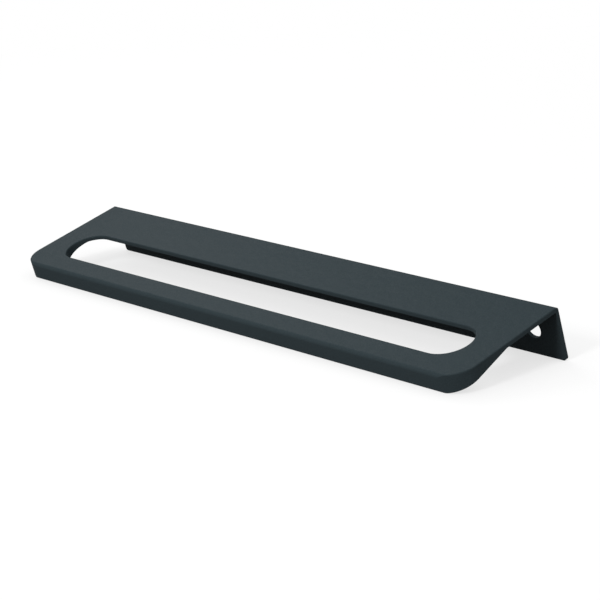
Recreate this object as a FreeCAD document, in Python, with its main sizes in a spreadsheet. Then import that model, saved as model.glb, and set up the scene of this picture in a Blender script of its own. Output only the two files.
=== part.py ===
import FreeCAD, Part
import math
import os
import Sketcher

# Edge pull for a drawer or cupboard door, one solid piece: a thin L section whose front
# thickens into a wedge-shaped grip bar, with one long finger slot through it.
# Frame: +X along the pull, -Y towards the room, +Z up, in millimetres. The origin lies
# midway between the two screw holes, on the face of the flange that bears on the door.

# Driving sizes
DRIVING_SIZES = [
    ("hole_spacing", 160.0),
    ("hole_to_end", 9.2),
    ("overall_depth", 37.4),
    ("plate_thickness", 1.2),
    ("flange_height", 15.0),
    ("flange_thickness", 1.0),
    ("outer_bend_radius", 0.9),
    ("inner_bend_radius", 0.4),
    ("door_thickness", 18.0),
    ("door_clearance", 0.2),
    ("bar_height", 5.2),
    ("wedge_blend_radius", 2.0),
    ("nose_upper_radius", 1.1),
    ("nose_lower_radius", 0.3),
    ("front_corner_radius", 7.0),
    ("flange_corner_radius", 0.8),
    ("slot_width", 14.0),
    ("slot_to_front", 7.1),
    ("slot_to_end", 8.9),
    ("hole_diameter", 5.2),
    ("hole_drop", 7.7),
    ("milled_edge_radius", 0.3),
]

doc = FreeCAD.newDocument("EdgePull")
sheet = doc.addObject("Spreadsheet::Sheet", "Sizes")
for row, (alias, value) in enumerate(DRIVING_SIZES, start=1):
    sheet.set("A%d" % row, alias)
    sheet.set("B%d" % row, str(value))
    sheet.setAlias("B%d" % row, alias)
doc.recompute()

body = doc.addObject("PartDesign::Body", "EdgePull")
body.Label = "edge_pull"

# Places worked out from the driving sizes, used to lay out the sketches and to find edges
half_length = sheet.hole_spacing / 2 + sheet.hole_to_end
back_y = sheet.flange_thickness
front_y = back_y - sheet.overall_depth
door_front_y = -sheet.door_thickness - sheet.door_clearance
top_z = sheet.hole_drop
under_z = top_z - sheet.plate_thickness
foot_z = top_z - sheet.flange_height
bar_z = top_z - sheet.bar_height
slot_near_y = front_y + sheet.slot_to_front
slot_far_y = slot_near_y + sheet.slot_width

# Ends of a sketch line or arc, and the sketch's own origin and axes
START, END, MIDDLE = 1, 2, 3
ORIGIN = (-1, 1)
LEVEL_AXIS = -1
UPRIGHT_AXIS = -2
NORMAL = FreeCAD.Vector(0, 0, 1)
QUARTER_TURN = math.pi / 2

# How far apart two places may be and still count as one, and the least a cut must take off
SAME_PLACE = 0.01
LEAST_CUT = 0.1


def origin_plane(role):
    """The body's own origin plane of that role."""
    return [plane for plane in body.Origin.OriginFeatures if plane.Role == role][0]


def new_sketch(name, plane_role):
    """An empty sketch on one of the body's origin planes."""
    sketch = body.newObject("Sketcher::SketchObject", name)
    sketch.AttachmentSupport = [(origin_plane(plane_role), "")]
    sketch.MapMode = "FlatFace"
    return sketch


def line(sketch, start, end):
    """A straight line between two sketch points."""
    start_point = FreeCAD.Vector(start[0], start[1], 0)
    end_point = FreeCAD.Vector(end[0], end[1], 0)
    return sketch.addGeometry(Part.LineSegment(start_point, end_point))


def arc(sketch, centre, radius, first_angle, last_angle):
    """An arc, anticlockwise from the first angle to the last."""
    circle = Part.Circle(FreeCAD.Vector(centre[0], centre[1], 0), NORMAL, radius)
    return sketch.addGeometry(Part.ArcOfCircle(circle, first_angle, last_angle))


def constrain(sketch, kind, *points_and_edges):
    """A geometric constraint."""
    sketch.addConstraint(Sketcher.Constraint(kind, *points_and_edges))


def dimension(sketch, name, kind, *points_and_value, bound_to):
    """A named dimension whose value is bound to the sheet."""
    index = sketch.addConstraint(Sketcher.Constraint(kind, *points_and_value))
    sketch.renameConstraint(index, name)
    sketch.setExpression("Constraints." + name, bound_to)


def near(first, second):
    """True where two coordinates are the same place."""
    return abs(first - second) < SAME_PLACE


def round_edges(name, label, base, radius, belongs):
    """A fillet on base's edges whose centre passes the test, and on all that run on from them."""
    edges = enumerate(base.Shape.Edges, start=1)
    chosen = ["Edge%d" % number for number, edge in edges if belongs(edge.CenterOfMass)]
    fillet = body.newObject("PartDesign::Fillet", name)
    fillet.Label = label
    fillet.Base = (base, chosen)
    fillet.setExpression("Radius", radius)
    doc.recompute()
    return fillet


# Section
# The end view, in Y and Z: the plate on top, the flange hanging at the back and the solid
# wedge of the grip bar in front of the door. A small arc eases the plate into the wedge, and
# the bar's nose is rounded above and below.
section = new_sketch("Section", "YZ_Plane")
bend_r = sheet.outer_bend_radius
inner_r = sheet.inner_bend_radius
blend_r = sheet.wedge_blend_radius
nose_r = sheet.nose_upper_radius
chin_r = sheet.nose_lower_radius
wedge_angle = math.atan2(under_z - bar_z, door_front_y - front_y)
wedge_start_y = door_front_y - blend_r * math.sin(wedge_angle)
wedge_start_z = under_z - blend_r * (1 - math.cos(wedge_angle))

top = line(section, (front_y + nose_r, top_z), (back_y - bend_r, top_z))
back = line(section, (back_y, top_z - bend_r), (back_y, foot_z))
foot = line(section, (back_y, foot_z), (0, foot_z))
bearing = line(section, (0, foot_z), (0, under_z - inner_r))
underside = line(section, (-inner_r, under_z), (door_front_y, under_z))
wedge = line(section, (wedge_start_y, wedge_start_z), (front_y + chin_r, bar_z))
front = line(section, (front_y, bar_z + chin_r), (front_y, top_z - nose_r))
bend = arc(section, (back_y - bend_r, top_z - bend_r), bend_r, 0, QUARTER_TURN)
inner_bend = arc(section, (-inner_r, under_z - inner_r), inner_r, 0, QUARTER_TURN)
blend = arc(section, (door_front_y, under_z - blend_r), blend_r, QUARTER_TURN, QUARTER_TURN + wedge_angle)
nose = arc(section, (front_y + nose_r, top_z - nose_r), nose_r, QUARTER_TURN, 2 * QUARTER_TURN)
chin = arc(section, (front_y + chin_r, bar_z + chin_r), chin_r, 2 * QUARTER_TURN,
           3 * QUARTER_TURN - wedge_angle)
tip = section.addGeometry(Part.Point(FreeCAD.Vector(front_y, bar_z, 0)), True)

for level in (top, foot, underside):
    constrain(section, "Horizontal", level)
for upright in (back, bearing, front):
    constrain(section, "Vertical", upright)
constrain(section, "Coincident", back, END, foot, START)
constrain(section, "Coincident", foot, END, bearing, START)
constrain(section, "Tangent", top, END, bend, END)
constrain(section, "Tangent", back, START, bend, START)
constrain(section, "Tangent", bearing, END, inner_bend, START)
constrain(section, "Tangent", underside, START, inner_bend, END)
constrain(section, "Tangent", underside, END, blend, START)
constrain(section, "Tangent", wedge, START, blend, END)
constrain(section, "Tangent", top, START, nose, START)
constrain(section, "Tangent", front, END, nose, END)
constrain(section, "Tangent", front, START, chin, START)
constrain(section, "Tangent", wedge, END, chin, END)
constrain(section, "PointOnObject", bearing, START, UPRIGHT_AXIS)
constrain(section, "PointOnObject", tip, START, front)
constrain(section, "PointOnObject", tip, START, wedge)

dimension(section, "hole_drop", "DistanceY", *ORIGIN, top, START, top_z, bound_to="Sizes.hole_drop")
dimension(section, "flange_height", "DistanceY", foot, START, top, START, sheet.flange_height,
          bound_to="Sizes.flange_height")
dimension(section, "flange_thickness", "DistanceX", foot, END, foot, START, back_y,
          bound_to="Sizes.flange_thickness")
dimension(section, "plate_thickness", "DistanceY", underside, END, top, START, sheet.plate_thickness,
          bound_to="Sizes.plate_thickness")
dimension(section, "depth", "DistanceX", front, START, foot, START, sheet.overall_depth,
          bound_to="Sizes.overall_depth")
dimension(section, "door_space", "DistanceX", underside, END, *ORIGIN, -door_front_y,
          bound_to="Sizes.door_thickness + Sizes.door_clearance")
dimension(section, "bar_height", "DistanceY", tip, START, top, START, sheet.bar_height,
          bound_to="Sizes.bar_height")
dimension(section, "bend_radius", "Radius", bend, bend_r, bound_to="Sizes.outer_bend_radius")
dimension(section, "inner_radius", "Radius", inner_bend, inner_r, bound_to="Sizes.inner_bend_radius")
dimension(section, "blend_radius", "Radius", blend, blend_r, bound_to="Sizes.wedge_blend_radius")
dimension(section, "nose_radius", "Radius", nose, nose_r, bound_to="Sizes.nose_upper_radius")
dimension(section, "chin_radius", "Radius", chin, chin_r, bound_to="Sizes.nose_lower_radius")

profile = body.newObject("PartDesign::Pad", "Profile")
profile.Label = "section drawn out along the pull"
profile.Profile = section
profile.SideType = "Symmetric"
profile.setExpression("Length", "Sizes.hole_spacing + 2 * Sizes.hole_to_end")
doc.recompute()

# Flange corners
# The flange's two lower corners are eased.
flange_corners = round_edges(
    "FlangeCorners", "eased flange corners", profile, "Sizes.flange_corner_radius",
    lambda centre: near(abs(centre.x), half_length) and near(centre.z, foot_z))

# Ends
# The front corners are milled to a quarter round in plan, and the upper edge is eased all the
# way along the end and round the corner. One outline, seen along the pull's depth, serves
# both cuts: it is turned about the corner's upright axis and then drawn straight on to the
# back. The eased radius is held to its share of the plate's thickness.
EASED_SHARE = 0.3
EASED_RADIUS = "min(Sizes.milled_edge_radius; %s * Sizes.plate_thickness)" % EASED_SHARE
end_outline = new_sketch("EndOutline", "XZ_Plane")
end_outline.setExpression(
    "AttachmentOffset.Base.z",
    "Sizes.overall_depth - Sizes.flange_thickness - Sizes.front_corner_radius")
corner_r = sheet.front_corner_radius
eased_r = min(sheet.milled_edge_radius, EASED_SHARE * sheet.plate_thickness)
shoulder_x = half_length - eased_r
above_z = top_z + corner_r
below_z = bar_z - corner_r
beyond_x = half_length + corner_r
wall = line(end_outline, (half_length, below_z), (half_length, top_z - eased_r))
shoulder = arc(end_outline, (shoulder_x, top_z - eased_r), eased_r, 0, QUARTER_TURN)
rise = line(end_outline, (shoulder_x, top_z), (shoulder_x, above_z))
lid = line(end_outline, (shoulder_x, above_z), (beyond_x, above_z))
outside = line(end_outline, (beyond_x, above_z), (beyond_x, below_z))
base = line(end_outline, (beyond_x, below_z), (half_length, below_z))
corner_axis = line(end_outline, (half_length - corner_r, below_z), (half_length - corner_r, above_z))
end_outline.setConstruction(corner_axis, True)

for level in (lid, base):
    constrain(end_outline, "Horizontal", level)
for upright in (wall, rise, outside, corner_axis):
    constrain(end_outline, "Vertical", upright)
constrain(end_outline, "Tangent", wall, END, shoulder, START)
constrain(end_outline, "Coincident", shoulder, END, rise, START)
constrain(end_outline, "Coincident", rise, END, lid, START)
constrain(end_outline, "Coincident", lid, END, outside, START)
constrain(end_outline, "Coincident", outside, END, base, START)
constrain(end_outline, "Coincident", base, END, wall, START)
constrain(end_outline, "Vertical", shoulder, MIDDLE, shoulder, END)
constrain(end_outline, "Horizontal", corner_axis, START, wall, START)
constrain(end_outline, "Horizontal", corner_axis, END, lid, START)

HALF_LENGTH = "Sizes.hole_spacing / 2 + Sizes.hole_to_end"
dimension(end_outline, "half_length", "DistanceX", *ORIGIN, wall, START, half_length, bound_to=HALF_LENGTH)
dimension(end_outline, "top", "DistanceY", *ORIGIN, rise, START, top_z, bound_to="Sizes.hole_drop")
dimension(end_outline, "eased_radius", "Radius", shoulder, eased_r, bound_to=EASED_RADIUS)
dimension(end_outline, "corner_radius", "DistanceX", corner_axis, START, wall, START, corner_r,
          bound_to="Sizes.front_corner_radius")
dimension(end_outline, "reach_outward", "DistanceX", wall, START, base, START, corner_r,
          bound_to="Sizes.front_corner_radius")
dimension(end_outline, "reach_up", "DistanceY", rise, START, rise, END, corner_r,
          bound_to="Sizes.front_corner_radius")
dimension(end_outline, "reach_down", "DistanceY", wall, START, rise, START, sheet.bar_height + corner_r,
          bound_to="Sizes.bar_height + Sizes.front_corner_radius")
doc.recompute()

corner_cut = body.newObject("PartDesign::Groove", "CornerCut")
corner_cut.Label = "front corner"
corner_cut.Profile = end_outline
corner_cut.ReferenceAxis = (end_outline, ["Axis0"])
corner_cut.Angle = 90
corner_cut.Reversed = True
doc.recompute()
end_cut = body.newObject("PartDesign::Pocket", "EndCut")
end_cut.Label = "eased end"
end_cut.Profile = end_outline
end_cut.Type = "ThroughAll"
doc.recompute()
both_ends = body.newObject("PartDesign::Mirrored", "BothEnds")
both_ends.Label = "front corner and eased end on both sides"
both_ends.Originals = [corner_cut, end_cut]
both_ends.MirrorPlane = (origin_plane("YZ_Plane"), [""])
body.Tip = both_ends
doc.recompute()

# Finger slot
# One long slot with full-radius ends, cut straight down through the plate and the wedge. Its
# upper edge is eased like that of the ends.
slot_outline = new_sketch("SlotOutline", "XY_Plane")
slot_r = sheet.slot_width / 2
slot_y = (slot_near_y + slot_far_y) / 2
slot_reach = half_length - sheet.slot_to_end - slot_r
near_wall = line(slot_outline, (-slot_reach, slot_near_y), (slot_reach, slot_near_y))
right_end = arc(slot_outline, (slot_reach, slot_y), slot_r, -QUARTER_TURN, QUARTER_TURN)
far_wall = line(slot_outline, (slot_reach, slot_far_y), (-slot_reach, slot_far_y))
left_end = arc(slot_outline, (-slot_reach, slot_y), slot_r, QUARTER_TURN, 3 * QUARTER_TURN)
constrain(slot_outline, "Tangent", near_wall, END, right_end, START)
constrain(slot_outline, "Tangent", right_end, END, far_wall, START)
constrain(slot_outline, "Tangent", far_wall, END, left_end, START)
constrain(slot_outline, "Tangent", left_end, END, near_wall, START)
constrain(slot_outline, "Equal", right_end, left_end)
constrain(slot_outline, "Horizontal", near_wall)
SLOT_REACH = HALF_LENGTH + " - Sizes.slot_to_end - Sizes.slot_width / 2"
SLOT_SETBACK = "Sizes.overall_depth - Sizes.flange_thickness - Sizes.slot_to_front - Sizes.slot_width / 2"
dimension(slot_outline, "end_radius", "Radius", right_end, slot_r, bound_to="Sizes.slot_width / 2")
dimension(slot_outline, "right_reach", "DistanceX", *ORIGIN, right_end, MIDDLE, slot_reach,
          bound_to=SLOT_REACH)
dimension(slot_outline, "left_reach", "DistanceX", left_end, MIDDLE, *ORIGIN, slot_reach,
          bound_to=SLOT_REACH)
dimension(slot_outline, "setback", "DistanceY", right_end, MIDDLE, *ORIGIN, -slot_y,
          bound_to=SLOT_SETBACK)

slot = body.newObject("PartDesign::Pocket", "FingerSlot")
slot.Label = "finger slot"
slot.Profile = slot_outline
slot.Type = "ThroughAll"
slot.SideType = "Symmetric"
doc.recompute()
slot_edge = round_edges(
    "SlotEdge", "eased upper edge of the slot", slot, EASED_RADIUS,
    lambda centre: near(centre.y, slot_near_y) and near(centre.z, top_z))

# Screw holes
# Two plain holes through the flange, for screws driven from behind into the door.
hole_outline = new_sketch("HoleOutline", "XZ_Plane")
hole_point = (sheet.hole_spacing / 2, 0)
hole_r = sheet.hole_diameter / 2
hole_circle = hole_outline.addGeometry(Part.Circle(FreeCAD.Vector(*hole_point, 0), NORMAL, hole_r))
constrain(hole_outline, "PointOnObject", hole_circle, MIDDLE, LEVEL_AXIS)
dimension(hole_outline, "half_spacing", "DistanceX", *ORIGIN, hole_circle, MIDDLE, hole_point[0],
          bound_to="Sizes.hole_spacing / 2")
dimension(hole_outline, "diameter", "Diameter", hole_circle, sheet.hole_diameter,
          bound_to="Sizes.hole_diameter")
doc.recompute()

screw_hole = body.newObject("PartDesign::Hole", "ScrewHole")
screw_hole.Label = "screw hole"
screw_hole.Profile = hole_outline
screw_hole.DepthType = "ThroughAll"
screw_hole.setExpression("Diameter", "Sizes.hole_diameter")
doc.recompute()
both_holes = body.newObject("PartDesign::Mirrored", "BothHoles")
both_holes.Label = "screw holes at both ends"
both_holes.Originals = [screw_hole]
both_holes.MirrorPlane = (origin_plane("YZ_Plane"), [""])
body.Tip = both_holes
doc.recompute()

# Checks before anything is written
for thing in doc.Objects:
    if "Invalid" in thing.State or "Error" in thing.State:
        raise RuntimeError("%s did not build: %s" % (thing.Label, thing.State))
for sketch in (section, end_outline, slot_outline, hole_outline):
    if not sketch.FullyConstrained:
        raise RuntimeError("%s is not fully constrained" % sketch.Label)
if body.Shape.isNull() or not body.Shape.isValid() or len(body.Shape.Solids) != 1:
    raise RuntimeError("the pull is not one valid solid")
steps = (profile, flange_corners, corner_cut, end_cut, both_ends, slot, slot_edge, screw_hole, both_holes)
for before, feature in zip(steps, steps[1:]):
    if feature.Shape.Volume > before.Shape.Volume - LEAST_CUT:
        raise RuntimeError("%s cut nothing" % feature.Label)

os.makedirs("parts", exist_ok=True)
body.Shape.exportStep("parts/%s.step" % body.Label)
print("volume %.1f mm3" % body.Shape.Volume)
print("box", body.Shape.BoundBox)
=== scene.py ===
import math

import bpy
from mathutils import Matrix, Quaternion, Vector

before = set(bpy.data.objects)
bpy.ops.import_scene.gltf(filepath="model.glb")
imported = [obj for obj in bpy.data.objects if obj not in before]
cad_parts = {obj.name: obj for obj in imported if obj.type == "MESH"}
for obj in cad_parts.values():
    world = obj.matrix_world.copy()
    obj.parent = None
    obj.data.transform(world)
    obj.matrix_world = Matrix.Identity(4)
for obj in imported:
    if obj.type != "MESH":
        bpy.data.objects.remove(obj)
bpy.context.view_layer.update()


# The pull
# One length of aluminium, extruded to its L section and wedge, milled to its outline and slot
# and powder coated all over. Two screws through the flange hold it to the back of the door.
# The CAD shape stays as it is, with the door's back at y = 0 and the screw holes at z = 0.
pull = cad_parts["edge_pull"]

# The melted powder lies in fine grains a quarter of a millimetre wide, over a slow waviness
# of a few millimetres like the skin of an orange. The colour varies with the grains, and the
# sheen with clouds a centimetre or two wide.
GRAINS_PER_METRE = 3600
WAVES_PER_METRE = 380
CLOUDS_PER_METRE = 60
GRAIN_DETAIL, WAVE_DETAIL, CLOUD_DETAIL = 2.0, 1.0, 3.0
GRAIN_HEIGHT = 0.00008
WAVE_HEIGHT = 0.0002
BUMP_STRENGTH = 0.5
DARK_POWDER = (0.0200, 0.0290, 0.0330, 1)
LIGHT_POWDER = (0.0384, 0.0536, 0.0602, 1)

coat = bpy.data.materials.new("anthracite powder coat")
coat.use_nodes = True
nodes, links = coat.node_tree.nodes, coat.node_tree.links
pull_place = nodes.new("ShaderNodeTexCoord")


def coat_noise(name, per_metre, detail):
    """A noise over the pull's own coordinates, with so many grains to the metre."""
    node = nodes.new("ShaderNodeTexNoise")
    node.name = name
    node.inputs["Scale"].default_value = per_metre
    node.inputs["Detail"].default_value = detail
    links.new(pull_place.outputs["Object"], node.inputs["Vector"])
    return node


grain = coat_noise("powder grain", GRAINS_PER_METRE, GRAIN_DETAIL)
waviness = coat_noise("orange peel", WAVES_PER_METRE, WAVE_DETAIL)
clouds = coat_noise("uneven sheen", CLOUDS_PER_METRE, CLOUD_DETAIL)

tint = nodes.new("ShaderNodeMix")
tint.data_type = "RGBA"
tint.inputs["A"].default_value = DARK_POWDER
tint.inputs["B"].default_value = LIGHT_POWDER
links.new(grain.outputs["Fac"], tint.inputs["Factor"])

peel = nodes.new("ShaderNodeBump")
peel.inputs["Strength"].default_value = BUMP_STRENGTH
peel.inputs["Distance"].default_value = WAVE_HEIGHT
links.new(waviness.outputs["Fac"], peel.inputs["Height"])
pimples = nodes.new("ShaderNodeBump")
pimples.inputs["Strength"].default_value = BUMP_STRENGTH
pimples.inputs["Distance"].default_value = GRAIN_HEIGHT
links.new(grain.outputs["Fac"], pimples.inputs["Height"])
links.new(peel.outputs["Normal"], pimples.inputs["Normal"])

# The body of the coat is dull. The skin on it is thin and gives the top its soft sheen.
CLOUD_LOW, CLOUD_HIGH = 0.3, 0.7
BODY_ROUGHNESS_LOW, BODY_ROUGHNESS_HIGH = 0.5, 0.6
BODY_GLOSS = 0.0
SKIN_WEIGHT = 0.06
SKIN_ROUGHNESS = 0.2

dullness = nodes.new("ShaderNodeMapRange")
dullness.inputs["From Min"].default_value = CLOUD_LOW
dullness.inputs["From Max"].default_value = CLOUD_HIGH
dullness.inputs["To Min"].default_value = BODY_ROUGHNESS_LOW
dullness.inputs["To Max"].default_value = BODY_ROUGHNESS_HIGH
links.new(clouds.outputs["Fac"], dullness.inputs["Value"])

shader = nodes["Principled BSDF"]
shader.inputs["Specular IOR Level"].default_value = BODY_GLOSS
shader.inputs["Coat Weight"].default_value = SKIN_WEIGHT
shader.inputs["Coat Roughness"].default_value = SKIN_ROUGHNESS
links.new(tint.outputs["Result"], shader.inputs["Base Color"])
links.new(dullness.outputs["Result"], shader.inputs["Roughness"])
links.new(pimples.outputs["Normal"], shader.inputs["Normal"])
links.new(pimples.outputs["Normal"], shader.inputs["Coat Normal"])
pull.material_slots[0].material = coat


# The floor
# A plain white sheet. The pull lies on it on two edges, the foot of its flange and the lower
# front edge of its grip bar, so the sheet slopes up towards the front under it. It is seen
# from above only, and throws back less light than it shows.
FLOOR_WIDTH = 4.0
FOOT_Y, FOOT_Z = 0.0, -0.0073
BAR_Y, BAR_Z = -0.0364, 0.0025

slope = math.atan2(BAR_Z - FOOT_Z, FOOT_Y - BAR_Y)
bpy.ops.mesh.primitive_plane_add(size=FLOOR_WIDTH)
floor = bpy.context.object
floor.name = "floor"
floor.location = (0, FOOT_Y, FOOT_Z)
floor.rotation_euler = (-slope, 0, 0)

WHITE = (1, 1, 1, 1)
PAPER_SHOWN = (0.95, 0.95, 0.95, 1)
PAPER_THROWN_BACK = (0.1, 0.1, 0.1, 1)

paper = bpy.data.materials.new("white paper")
paper.use_nodes = True
nodes, links = paper.node_tree.nodes, paper.node_tree.links
nodes.clear()
output = nodes.new("ShaderNodeOutputMaterial")
shown = nodes.new("ShaderNodeBsdfDiffuse")
shown.inputs["Color"].default_value = PAPER_SHOWN
glow = nodes.new("ShaderNodeEmission")
glow.inputs["Color"].default_value = WHITE
thrown_back = nodes.new("ShaderNodeBsdfDiffuse")
thrown_back.inputs["Color"].default_value = PAPER_THROWN_BACK
nothing = nodes.new("ShaderNodeBsdfTransparent")

# Away from the pull and its shadow the sheet fades into the white of the room.
FADE_START, FADE_END = 0.15, 0.5
GLOW_NEAR, GLOW_FAR = 0.7, 1.0

sheet_place = nodes.new("ShaderNodeTexCoord")
distance = nodes.new("ShaderNodeVectorMath")
distance.operation = "LENGTH"
links.new(sheet_place.outputs["Object"], distance.inputs[0])
fade = nodes.new("ShaderNodeMapRange")
fade.inputs["From Min"].default_value = FADE_START
fade.inputs["From Max"].default_value = FADE_END
fade.inputs["To Min"].default_value = GLOW_NEAR
fade.inputs["To Max"].default_value = GLOW_FAR
links.new(distance.outputs["Value"], fade.inputs["Value"])


def looked_at(tree):
    """One for the camera's rays and for those in gloss and clear pieces, else nought.

    It is the sum of the three yes-or-no answers about the ray, cut off at one.
    """
    ray = tree.nodes.new("ShaderNodeLightPath")
    total = ray.outputs["Is Camera Ray"]
    for answer in ("Is Glossy Ray", "Is Transmission Ray"):
        node = tree.nodes.new("ShaderNodeMath")
        node.operation = "ADD"
        node.use_clamp = True
        tree.links.new(total, node.inputs[0])
        tree.links.new(ray.outputs[answer], node.inputs[1])
        total = node.outputs["Value"]
    return total


def paper_mix(share, first, second):
    """Two shaders of the sheet: that share of the second, and the rest of the first."""
    node = nodes.new("ShaderNodeMixShader")
    links.new(share, node.inputs["Fac"])
    links.new(first.outputs[0], node.inputs[1])
    links.new(second.outputs[0], node.inputs[2])
    return node


side = nodes.new("ShaderNodeNewGeometry")
seen = paper_mix(fade.outputs["Result"], shown, glow)
front_side = paper_mix(looked_at(paper.node_tree), thrown_back, seen)
both_sides = paper_mix(side.outputs["Backfacing"], front_side, nothing)
links.new(both_sides.outputs[0], output.inputs["Surface"])
floor.data.materials.append(paper)


# The light
# An even white room, seen as pure white, with two soft boxes. The window, behind and to the
# left, lays a sheen over the top that fades towards the rear right corner, so it is rolled to
# set the edge of the sheen there. The lamp in front lights the grip bar's face and right end.
ROOM_LIGHT = 0.78
ROOM_SEEN = 1.0

room = bpy.data.worlds.new("white room")
bpy.context.scene.world = room
room.use_nodes = True
nodes, links = room.node_tree.nodes, room.node_tree.links
strength = nodes.new("ShaderNodeMapRange")
strength.inputs["To Min"].default_value = ROOM_LIGHT
strength.inputs["To Max"].default_value = ROOM_SEEN
links.new(looked_at(room.node_tree), strength.inputs["Value"])
nodes["Background"].inputs["Color"].default_value = WHITE
links.new(strength.outputs["Result"], nodes["Background"].inputs["Strength"])


def soft_box(name, stand, width, roll, watts):
    """A square lamp that stands at that point, faces the origin and is rolled by degrees."""
    data = bpy.data.lights.new(name, "AREA")
    data.shape = "SQUARE"
    data.size = width
    data.energy = watts
    lamp = bpy.data.objects.new(name, data)
    bpy.context.scene.collection.objects.link(lamp)
    lamp.location = stand
    facing = (-Vector(stand)).to_track_quat("-Z", "Y")
    lamp.rotation_euler = (facing @ Quaternion((0, 0, 1), math.radians(roll))).to_euler()


soft_box("window", stand=(-0.87, 0.445, 0.605), width=0.5, roll=34, watts=2.25)
soft_box("front lamp", stand=(0.2, -0.86, 0.88), width=0.25, roll=0, watts=7.3)


# The camera
# It looks down on the pull from its right-hand front, with a long lens. Its stand is in
# metres, its turns in degrees, and its lens and sensor in millimetres.
CAMERA_STAND = (0.405884, -0.313280, 0.236346)
CAMERA_TURNS = (63.9265, 13.6658, 46.3965)
LENS = 122.217
SENSOR = 36
NEAREST_SEEN = 0.01

camera_data = bpy.data.cameras.new("camera")
camera_data.sensor_width = SENSOR
camera_data.lens = LENS
camera_data.clip_start = NEAREST_SEEN
camera = bpy.data.objects.new("camera", camera_data)
bpy.context.scene.collection.objects.link(camera)
camera.location = CAMERA_STAND
camera.rotation_euler = [math.radians(turn) for turn in CAMERA_TURNS]
bpy.context.scene.camera = camera
bpy.context.scene.view_settings.view_transform = "Standard"
